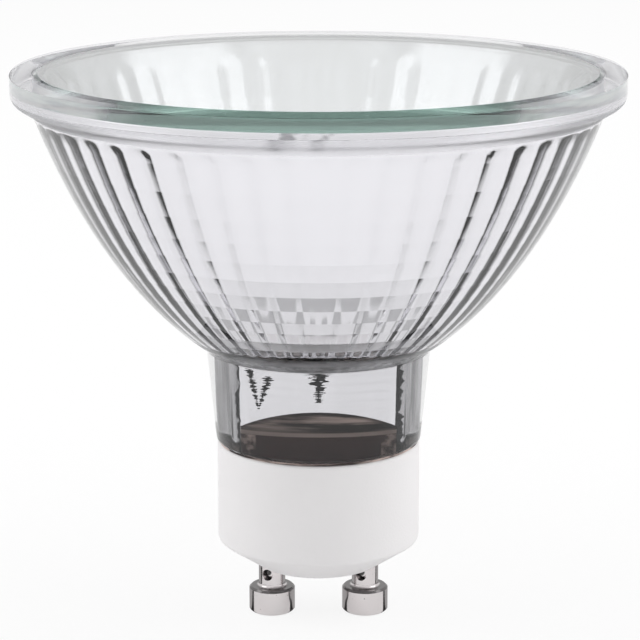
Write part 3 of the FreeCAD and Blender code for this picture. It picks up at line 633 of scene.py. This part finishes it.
def along(path):
    """Distance along a path from its start to each of its points."""
    gaps = np.linalg.norm(np.diff(path, axis=0), axis=1)
    return np.concatenate([[0.0], np.cumsum(gaps)])


def at_distances(path, distances):
    """Points of a path at given distances along it, on straight lines between its own points."""
    own = along(path)
    return np.stack([np.interp(distances, own, column) for column in path.T], axis=-1)


def denser(path, spacing):
    """The same path with extra points, no two of them further apart than the spacing."""
    own = along(path)
    extra = np.linspace(0, own[-1], math.ceil(own[-1] / spacing) + 1)
    return at_distances(path, np.unique(np.round(np.concatenate([own, extra]), 9)))


def turned(section, angles):
    """Rings of a section of radii and heights turned about the axis, at the given angles."""
    radii, heights = section.T
    return np.stack(np.broadcast_arrays(
        radii[:, None] * np.cos(angles), radii[:, None] * np.sin(angles), heights[:, None]), axis=-1)


def new_piece(name, grid, finishes, kinds=None, creases=None, close_rows=True):
    """A piece from a grid of points that closes on itself round its rings.

    Each point is joined to its neighbours in its own ring and in the next one. The last ring is
    joined to the first where the rows close. Each row of faces may have its own finish. Creases
    say which rings are sharp edges. Points that coincide become one, and the faces are turned
    outwards.
    """
    rows, columns = grid.shape[:2]
    face_rows = rows if close_rows else rows - 1
    here = np.arange(face_rows)[:, None] * columns + np.arange(columns)
    beside = np.arange(face_rows)[:, None] * columns + (np.arange(columns) + 1) % columns
    above = (here + columns) % (rows * columns)
    diagonal = (beside + columns) % (rows * columns)
    faces = np.stack([here, beside, diagonal, above], axis=-1).reshape(-1, 4)
    points = grid.reshape(-1, 3)
    corner = points[faces]
    volume = np.einsum("ij,ij->", corner[:, 0], np.cross(corner[:, 1], corner[:, 2]))
    volume += np.einsum("ij,ij->", corner[:, 0], np.cross(corner[:, 2], corner[:, 3]))
    if volume < 0:
        faces = faces[:, ::-1]
    mesh = bpy.data.meshes.new(name)
    mesh.from_pydata(points.tolist(), [], faces.tolist())
    mesh.polygons.foreach_set("use_smooth", np.ones(len(faces), bool))
    if creases is not None:
        ends = np.empty(2 * len(mesh.edges), np.int32)
        mesh.edges.foreach_get("vertices", ends)
        ring = ends.reshape(-1, 2) // columns
        sharp = (ring[:, 0] == ring[:, 1]) & creases[ring[:, 0]]
        mesh.attributes.new("sharp_edge", "BOOLEAN", "EDGE").data.foreach_set("value", sharp)
    for finish in finishes:
        mesh.materials.append(finish)
    if kinds is not None:
        mesh.polygons.foreach_set("material_index", np.repeat(kinds, columns))
    work = bmesh.new()
    work.from_mesh(mesh)
    bmesh.ops.remove_doubles(work, verts=work.verts, dist=1e-7)
    work.to_mesh(mesh)
    work.free()
    piece = bpy.data.objects.new(name, mesh)
    bpy.context.scene.collection.objects.link(piece)
    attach(piece, "root")
    return piece


def dress(names, finish):
    """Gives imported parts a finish."""
    for name in names:
        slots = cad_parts[name].data.materials
        slots.clear()
        slots.append(finish)


def slot_outline(half_width, half_depth, corner, count, start):
    """An upright slot's outline: straight sides and quarter-circle corners, with points evenly
    spaced along it. The start is the share of the outline passed before the first point."""
    right = [(half_width, 0.0), (half_width, half_depth), (-half_width, half_depth),
             (-half_width, -half_depth), (half_width, -half_depth), (half_width, 0.0)]
    path = rounded(right, [corner] * 4, 24)
    total = along(path)[-1]
    return at_distances(path, (np.arange(count) / count + start) % 1.0 * total)


class Bowl:
    """The two ellipsoids of the bowl, and where it meets the ledge and its floor.

    An ellipsoid has height = centre - reach * sqrt(1 - (radius / girth)^2). The inner one passes
    through the mouth and the floor's edge, and the outer one is larger by the wall.
    """

    def __init__(self, sizes):
        self.recess_radius = ADHESIVE_HIGH.x + CLEARANCE
        self.ledge = ADHESIVE_LOW.z - CLEARANCE
        self.mouth_radius = self.recess_radius - sizes.ledge_width
        self.floor_radius = sizes.floor_radius
        self.floor = self.ledge - sizes.bowl_depth
        self.centre = REFLECTOR_HIGH.z + sizes.centre_rise
        mouth_drop = self.centre - self.ledge
        floor_drop = self.centre - self.floor
        self.reach = math.sqrt(
            ((self.mouth_radius * floor_drop) ** 2 - (self.floor_radius * mouth_drop) ** 2)
            / (self.mouth_radius ** 2 - self.floor_radius ** 2))
        self.girth = self.mouth_radius / math.sqrt(1 - (mouth_drop / self.reach) ** 2)
        self.outer_reach = self.reach + sizes.end_wall
        self.outer_girth = self.girth + sizes.side_wall

    def inner_height(self, radius):
        """Height of the inner ellipsoid at a distance from the axis."""
        return self.centre - self.reach * np.sqrt(1 - (radius / self.girth) ** 2)

    def outer_height(self, radius):
        """Height of the outer ellipsoid at a distance from the axis."""
        return self.centre - self.outer_reach * np.sqrt(1 - (radius / self.outer_girth) ** 2)


def outside_section(sizes, bowl, bowl_rings=80, spacing=0.5 * MM):
    """Radii and heights of the outside, from the spigot's end to the ledge's inner edge.

    They run up the spigot and the neck's cone, along the outer ellipsoid, over the rim and down into
    the cover's recess. Straight runs meet in arcs.
    """
    rim_radius = REFLECTOR_HIGH.x
    rim_top = REFLECTOR_HIGH.z
    spigot_radius = sizes.spigot_radius
    spigot_bottom = REFLECTOR_LOW.z
    neck_foot = JOINT_HIGH.z
    neck_top_radius = sizes.neck_top_radius
    root_radius = rim_radius - sizes.rim_shoulder
    radii = np.linspace(neck_top_radius + 0.6 * MM, root_radius - 1.0 * MM, bowl_rings)
    middle = np.stack([radii, bowl.outer_height(radii)], axis=-1)
    lower = rounded(
        [(spigot_radius - 1.0 * MM, spigot_bottom), (spigot_radius, spigot_bottom),
         (spigot_radius, neck_foot), (sizes.neck_foot_radius, neck_foot),
         (neck_top_radius, bowl.outer_height(neck_top_radius)), middle[0]],
        [sizes.spigot_edge, sizes.spigot_edge, sizes.foot_edge, sizes.fold])
    upper = rounded(
        [middle[-1], (root_radius, bowl.outer_height(root_radius)),
         (rim_radius, rim_top - sizes.rim_wall), (rim_radius, rim_top),
         (bowl.recess_radius, rim_top), (bowl.recess_radius, bowl.ledge),
         (bowl.mouth_radius + 0.05 * MM, bowl.ledge)],
        [sizes.root_fillet, sizes.rim_lower_edge, sizes.rim_upper_edge, sizes.recess_edge,
         sizes.recess_corner])
    return np.concatenate([denser(lower, spacing)[:-1], middle, denser(upper, spacing)[1:]])


def facet_rings(sizes, bowl, turns, top_rings=9, run_out_rows=0.4):
    """Rings of the facets from the mouth down to the floor, and the row that each lies in.

    Turns count facets round the axis. Facets swell inwards from the inner ellipsoid between rounded
    ridges: the surface's turn away from the round rises evenly over a ridge and falls evenly over a
    facet, so that its depth is two parabolas. The turn grows from the mouth to the floor with the
    square of the way down. The facets run out in a smooth band below the mouth.
    """
    pitch = 2 * math.pi / sizes.facet_columns
    top_row = sizes.facet_rows - 1
    in_top_row = np.linspace(sizes.facet_rows, top_row, top_rings)
    rows = np.concatenate([in_top_row, np.arange(top_row)[::-1]])
    way_up = rows / sizes.facet_rows
    radii = bowl.floor_radius + (bowl.mouth_radius - bowl.floor_radius) * way_up
    from_ridge = np.abs(turns % 1.0 - 0.5)
    half_ridge = sizes.ridge_share / 2
    half_facet = 0.5 - half_ridge
    on_ridge = from_ridge ** 2 / (2 * half_ridge)
    on_facet = half_ridge / 2 + (half_facet ** 2 - (0.5 - from_ridge) ** 2) / (2 * half_facet)
    depth = pitch * np.where(from_ridge < half_ridge, on_ridge, on_facet)
    swing = sizes.flute_swing + (sizes.floor_swing - sizes.flute_swing) * (1 - way_up) ** 2
    run_out = np.clip((rows - sizes.flute_end) / run_out_rows, 0, None)
    loss = run_out * sizes.flute_swing * depth.max()
    swell = np.clip(swing[:, None] * depth - loss[:, None], 0, None)
    rings = turned(np.stack([radii, bowl.inner_height(radii)], axis=-1), turns * pitch)
    rings[..., :2] *= 1 - swell[..., None]
    return rings, rows


def slot_rings(sizes, bowl, columns, edge_rings=7, wall_rings=66, wander_length=2.6 * MM):
    """Rings of the slot from its rounded upper edge down to the spigot's end.

    The walls ripple: height * sin(2 * pi * up / pitch + phase), where the phase is a sum of two
    sines that wanders along the wall. The ripples fade at the slot's top, foot and corners.
    """
    outline = slot_outline(
        CEMENT_HIGH.x + CLEARANCE, CEMENT_HIGH.y + CLEARANCE, sizes.slot_corner, columns,
        0.5 / sizes.facet_columns)
    ahead = np.roll(outline, -1, axis=0) - np.roll(outline, 1, axis=0)
    outward = unit(np.stack([ahead[:, 1], -ahead[:, 0]], axis=-1))
    bend = np.linspace(0, math.pi / 2, edge_rings)
    wall = np.linspace(bowl.floor - sizes.slot_edge, REFLECTOR_LOW.z, wall_rings)
    levels = np.concatenate([bowl.floor - sizes.slot_edge * (1 - np.cos(bend)), wall[1:]])
    spread = np.zeros(len(levels))
    spread[:len(bend)] = sizes.slot_edge * (1 - np.sin(bend))
    rings = np.empty((len(levels), columns, 3))
    rings[..., :2] = outline + spread[:, None, None] * outward
    rings[..., 2] = levels[:, None]
    around = outline[:, 0] / wander_length
    phase = 1.7 * np.sin(around) + 0.8 * np.sin(2.3 * around + 1.0)
    wave = np.sin(2 * math.pi * levels[:, None] / sizes.ripple_pitch + phase)
    off_ends = np.sin(math.pi * np.linspace(0, 1, len(levels)))[:, None] ** 0.5
    off_corners = np.clip((CEMENT_HIGH.x - np.abs(outline[:, 0])) / sizes.slot_corner - 1, 0, 1)
    rings[..., :2] += (sizes.ripple_height * wave * off_ends * off_corners)[..., None] * outward
    return rings


def reflector_skin(sizes, column_steps=6):
    """The reflector's whole skin as one grid that closes both ways.

    Its rings run up the outside, in over the ledge, down the facets and down the slot. With them go
    the finish of each row of faces and the rings that are creases.
    """
    columns = sizes.facet_columns * column_steps
    turns = np.arange(columns) / column_steps + 0.5
    pitch = 2 * math.pi / sizes.facet_columns
    bowl = Bowl(sizes)
    outside = outside_section(sizes, bowl)
    facets, facet_rows = facet_rings(sizes, bowl, turns)
    slot = slot_rings(sizes, bowl, columns)
    grid = np.concatenate([turned(outside, turns * pitch), facets, slot])

    clear, coated, walled, bedded, bonded = range(5)
    hair = 1e-6
    bonded_edge = 0.38 * MM
    radius, height = outside.T
    in_recess = radius < bowl.recess_radius + hair
    on_adhesive = in_recess & (height > bowl.ledge + sizes.coated_wall)
    on_adhesive |= height > REFLECTOR_HIGH.z - bonded_edge
    on_ledge = in_recess & (height > bowl.ledge - hair)
    on_cement = height < JOINT_HIGH.z + hair
    kinds = np.concatenate([
        np.select([on_cement, on_adhesive, on_ledge], [bedded, bonded, coated], clear),
        np.full(len(facets), coated), np.full(len(slot), walled)])
    kinds[-1] = bedded

    creases = np.zeros(len(grid), bool)
    creases[len(outside):len(outside) + len(facets)] = facet_rows % 1.0 == 0.0
    creases[[0, len(outside) - 1, -1]] = True
    return grid, kinds, creases


class BULB_OT_reflector(bpy.types.Operator):
    """Makes the reflector: clear pressed glass with its mirrored facets and slot"""

    bl_idname = "bulb.reflector"
    bl_label = "Reflector"

    def execute(self, context):
        tones = context.scene.bulb_finishes
        sizes = context.scene.bulb_reflector
        grid, kinds, creases = reflector_skin(sizes)
        floor = ADHESIVE_LOW.z - sizes.bowl_depth
        piece = new_piece(
            "mirrored_reflector", grid,
            [pressed_glass(tones, floor), mirror_coat(tones, floor), slot_wall(tones, floor),
             bed_film(tones), bonded_glass()],
            kinds, creases)
        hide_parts("reflector")
        dress(["capsule_cement", "base_cement"], cement(tones))
        return {"FINISHED"}


class BULB_OT_cover(bpy.types.Operator):
    """Makes the cover glass and the adhesive bead under it"""

    bl_idname = "bulb.cover"
    bl_label = "Cover"

    def execute(self, context):
        dress(["cover_glass"], tinted_glass(context.scene.bulb_finishes))
        dress(["cover_adhesive"], clear_adhesive())
        return {"FINISHED"}


def coil_path(shoulder):
    """The middle line of the filament: up, over two round shoulders and down again."""
    thick = (COIL_HIGH.y - COIL_LOW.y) / 2
    half = COIL_HIGH.x - thick
    top = COIL_HIGH.z - thick
    return rounded([(-half, COIL_LOW.z), (-half, top), (half, top), (half, COIL_LOW.z)],
                   [shoulder, shoulder], 40)


def wound_wire(sizes, turn_steps=14, sides=6):
    """A wire wound round the filament's middle line, as rings of a thin tube.

    The wire's middle is the line's point plus a reach across it that turns once in each pitch, and
    each ring of the tube stands square to the wire.
    """
    path = denser(coil_path(sizes.shoulder), 0.05 * MM)
    total = along(path)[-1]
    count = int(total / sizes.pitch * turn_steps)
    way = np.linspace(0, total, count)
    middle = at_distances(path, way)
    heading = unit(np.gradient(middle, axis=0))
    zero = np.zeros(count)
    across = np.stack([heading[:, 1], zero, -heading[:, 0]], axis=-1)
    deep = np.array([0.0, 1.0, 0.0])
    phase = (2 * math.pi * way / sizes.pitch)[:, None]
    out = np.cos(phase) * across + np.sin(phase) * deep
    reach = (COIL_HIGH.y - COIL_LOW.y - sizes.wire) / 2
    wire = np.stack([middle[:, 0], zero, middle[:, 1]], axis=-1) + reach * out
    run = unit(np.gradient(wire, axis=0))
    side = unit(np.cross(run, out))
    lift = np.cross(side, run)
    angles = np.linspace(0, 2 * math.pi, sides, endpoint=False)[:, None]
    rings = np.cos(angles) * lift[:, None] + np.sin(angles) * side[:, None]
    tube = wire[:, None] + sizes.wire / 2 * rings
    ends = np.repeat(wire[[0, -1], None], sides, axis=1)
    return np.concatenate([ends[:1], tube, ends[1:]])


class BULB_OT_capsule(bpy.types.Operator):
    """Makes the quartz capsule with its filament, leads and foils"""

    bl_idname = "bulb.capsule"
    bl_label = "Capsule"

    def execute(self, context):
        tones = context.scene.bulb_finishes
        tungsten = wire_metal("tungsten", tones.tungsten, 0.3)
        coil = new_piece("wound_filament", wound_wire(context.scene.bulb_filament), [tungsten],
                         close_rows=False)
        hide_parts("filament")
        dress(["capsule_envelope"], quartz())
        dress(["filament_support", "inner_lead_left", "inner_lead_right"], tungsten)
        dress(["foil_left", "foil_right"], wire_metal("foil", tones.foil, 0.35))
        return {"FINISHED"}


class BULB_OT_base(bpy.types.Operator):
    """Finishes the ceramic base, the contact pins and what is inside the base"""

    bl_idname = "bulb.base"
    bl_label = "Base and pins"

    def execute(self, context):
        tones = context.scene.bulb_finishes
        dress(["ceramic_base"], ceramic(tones))
        dress(["contact_pin_left", "contact_pin_right"], turned_nickel(tones))
        dress(["outer_lead_left", "outer_lead_right", "fuse_lead"],
              wire_metal("lead_wire", tones.nickel, 0.3))
        dress(["fuse"], fuse_body(tones))
        return {"FINISHED"}


def flat_square(name, reach, height, finish):
    """A level square of the stage."""
    mesh = bpy.data.meshes.new(name)
    mesh.from_pydata(
        [(-reach, -reach, height), (reach, -reach, height), (reach, reach, height),
         (-reach, reach, height)], [], [(0, 1, 2, 3)])
    mesh.materials.append(finish)
    square = bpy.data.objects.new(name, mesh)
    bpy.context.scene.collection.objects.link(square)
    return square


def facing_bulb(place):
    """The matrix of something at a place, turned towards the bulb."""
    where = Matrix.Translation(place)
    towards = (-where.translation).to_track_quat("-Z", "Y")
    return where @ towards.to_matrix().to_4x4()


def seen_directly(finish, in_metal=1.0, in_glass=1.0):
    """One for what the camera sees, given shares of one for what it sees in metal and through
    glass, and nought else."""
    path = finish.node("ShaderNodeLightPath").socket.node.outputs
    camera, glossy, clear = (
        Value(finish, path[name])
        for name in ("Is Camera Ray", "Is Glossy Ray", "Is Transmission Ray"))
    return camera.larger(in_metal * glossy).larger(in_glass * clear)


def show_in_gloss_only(card):
    """Hides a card from all but glass and metal."""
    card.visible_camera = False
    card.visible_diffuse = False
    card.visible_shadow = False


class BULB_OT_studio(bpy.types.Operator):
    """Sets up the floor, the light and the camera"""

    bl_idname = "bulb.studio"
    bl_label = "Studio"

    def execute(self, context):
        settings = context.scene.bulb_studio
        self.make_floor(settings)
        self.make_dark_card()
        self.make_pin_card()
        self.make_light(context.scene, settings)
        # Cards that only glass and metal show, as painted reflections of the lamps.
        for name, place, reach, level in (
            ("left_glow", (-0.6, -0.16, 0.46), 0.38, 0.95),
            ("right_glow", (0.6, -0.16, 0.46), 0.42, 0.95),
            ("top_glow", (0.0, -0.3, 0.7), 0.6, 0.3),
        ):
            self.make_glow(name, facing_bulb(place), reach, level)
        self.make_camera(context.scene, settings)
        context.scene.view_settings.view_transform = "Standard"
        return {"FINISHED"}

    def make_floor(self, settings):
        """A pale floor that keeps the bulb's shadow and is close to white where it is seen."""
        finish = new_finish("pale_floor")
        matt = finish.matt((settings.floor, settings.floor, settings.floor))
        white = 0.85 * seen_directly(finish, 0.5, 0.2)
        flat_square("floor", 2.0, 0.0, finish.close(finish.mixed(white, matt, finish.light(1.0))))

    def make_dark_card(self):
        """A card on the floor that only glass shows: dark to each side behind the bulb as painted dark
        reflections, and painted floor shadow, half dark in a ring round the base and faint near it."""
        finish = new_finish("dark_card")
        across, back, _ = finish.axes()
        bearing = across.size().bearing(back * -1.0)
        reach = hypotenuse(across, back)
        sides = bearing.between(*(math.radians(degrees) for degrees in (98.0, 130.0, 160.0, 174.0)))
        sides = sides * reach.between(32 * MM, 42 * MM, 130 * MM, 210 * MM)
        # Painted floor shadow round the base, as glass shows it: half dark in a ring and faint near the
        # base.
        ring = 0.5 * reach.between(16 * MM, 17 * MM, 21 * MM, 23 * MM)
        near = 0.12 * reach.fall(26 * MM, 34 * MM)
        shade = sides.larger(ring).larger(near)
        card = self.make_card("dark_card", finish, shade, finish.light(0.065), 0.21, 1.0 * MM)
        card.visible_glossy = False

    def make_pin_card(self):
        """A grey card behind the pins that only metal shows, as painted floor shadow, with a dark wedge
        along its edge, as painted dark lines on the pins.

        Its edge passes each pin on both sides, turned a little towards the back.
        """
        finish = new_finish("pin_card")
        across, back, _ = finish.axes()
        edge_beside = 1.96 * MM
        edge_before = 1.47 * MM
        edge_turn = math.radians(16.0)
        cosine = math.cos(edge_turn)
        sine = math.sin(edge_turn)
        beside = (across.size() - PIN_OFF_MIDDLE).size() - edge_beside
        rear = back + edge_before
        behind = cosine * rear - sine * beside
        along_edge = cosine * beside + sine * rear
        # Painted shadow: grey past the edge, and a darker wedge along it for the dark lines that the
        # pins reflect.
        past_edge = behind.step(-0.15 * MM, 0.0)
        past_wedge = behind - (0.4 * MM + 0.16 * along_edge)
        wedge = past_edge * past_wedge.fall(0.0, 0.3 * MM)
        dark = finish.mixed(wedge, finish.light(0.4), finish.light(0.03))
        card = self.make_card("pin_card", finish, past_edge, dark, 0.03, 0.1 * MM)
        card.visible_transmission = False

    def make_card(self, name, finish, shade, dark, reach, height):
        """A level card that is clear where the shade is nought."""
        finish.close(finish.mixed(shade, finish.clear(), dark))
        card = flat_square(name, reach, height, finish.owner)
        show_in_gloss_only(card)
        return card

    def make_light(self, scene, settings):
        """Even light from all round and three soft lamps, which glass and metal don't show."""
        world = bpy.data.worlds.new("studio")
        scene.world = world
        finish = Finish(world)
        level = settings.ambient + (1.0 - settings.ambient) * seen_directly(finish)
        finish.close(finish.node("ShaderNodeBackground", sockets={"Strength": level}))
        for name, place, size, power in (
            ("left", (-0.62, 0.06, 0.4), 0.85, settings.side_light),
            ("right", (0.62, 0.06, 0.4), 0.9, 1.15 * settings.side_light),
            ("top", (0.0, -0.1, 1.0), 1.0, settings.top_light),
        ):
            lamp = bpy.data.lights.new(f"{name}_lamp", "AREA")
            lamp.size = size
            lamp.energy = power
            holder = bpy.data.objects.new(f"{name}_lamp", lamp)
            holder.matrix_world = facing_bulb(place)
            holder.visible_glossy = False
            holder.visible_transmission = False
            scene.collection.objects.link(holder)

    def make_glow(self, name, place, reach, level):
        """A painted reflection of a lamp, as glass and metal show it: a little brighter than what is
        behind, with soft edges.
        """
        finish = new_finish(name)
        across, along_it, _ = finish.axes()
        soft = across.size().fall(0.6 * reach, reach) * along_it.size().fall(0.7 * reach, reach)
        lit = finish.node(
            "ShaderNodeAddShader", sockets={0: finish.clear(), 1: finish.light(level)})
        card = flat_square(name, reach, 0.0, finish.close(finish.mixed(soft, finish.clear(), lit)))
        card.matrix_world = place
        show_in_gloss_only(card)

    def make_camera(self, scene, settings):
        """A camera in front of the bulb that looks down at it."""
        camera = bpy.data.cameras.new("camera")
        camera.lens = settings.camera_lens
        camera.shift_x = settings.camera_shift
        camera.clip_start = 0.01
        holder = bpy.data.objects.new("camera", camera)
        holder.location = (0.0, -settings.camera_reach, settings.camera_height)
        holder.rotation_euler = (math.pi / 2 - settings.camera_pitch, 0.0, 0.0)
        scene.collection.objects.link(holder)
        scene.camera = holder


class BULB_PT_sidebar(bpy.types.Panel):
    """Lists the bulb's pieces and its studio"""

    bl_idname = "BULB_PT_sidebar"
    bl_label = "Spotlight bulb"
    bl_space_type = "VIEW_3D"
    bl_region_type = "UI"
    bl_category = "Bulb"

    def draw(self, context):
        for operator in OPERATORS:
            self.layout.operator(operator.bl_idname)
        for name in SETTINGS:
            group = getattr(context.scene, name)
            box = self.layout.box()
            for setting in group.__annotations__:
                box.prop(group, setting)


OPERATORS = (BULB_OT_reflector, BULB_OT_cover, BULB_OT_capsule, BULB_OT_base, BULB_OT_studio)
SETTINGS = {
    "bulb_reflector": ReflectorSizes,
    "bulb_filament": FilamentSizes,
    "bulb_finishes": FinishColours,
    "bulb_studio": StudioSettings,
}


def register():
    for kind in (*SETTINGS.values(), *OPERATORS, BULB_PT_sidebar):
        bpy.utils.register_class(kind)
    for name, kind in SETTINGS.items():
        setattr(bpy.types.Scene, name, bpy.props.PointerProperty(type=kind))


def unregister():
    for name in SETTINGS:
        delattr(bpy.types.Scene, name)
    for kind in (BULB_PT_sidebar, *reversed(OPERATORS), *SETTINGS.values()):
        bpy.utils.unregister_class(kind)


def main():
    """Makes the bulb and its studio."""
    register()
    bpy.ops.bulb.reflector()
    bpy.ops.bulb.cover()
    bpy.ops.bulb.capsule()
    bpy.ops.bulb.base()
    bpy.ops.bulb.studio()


if __name__ == "__main__":
    main()
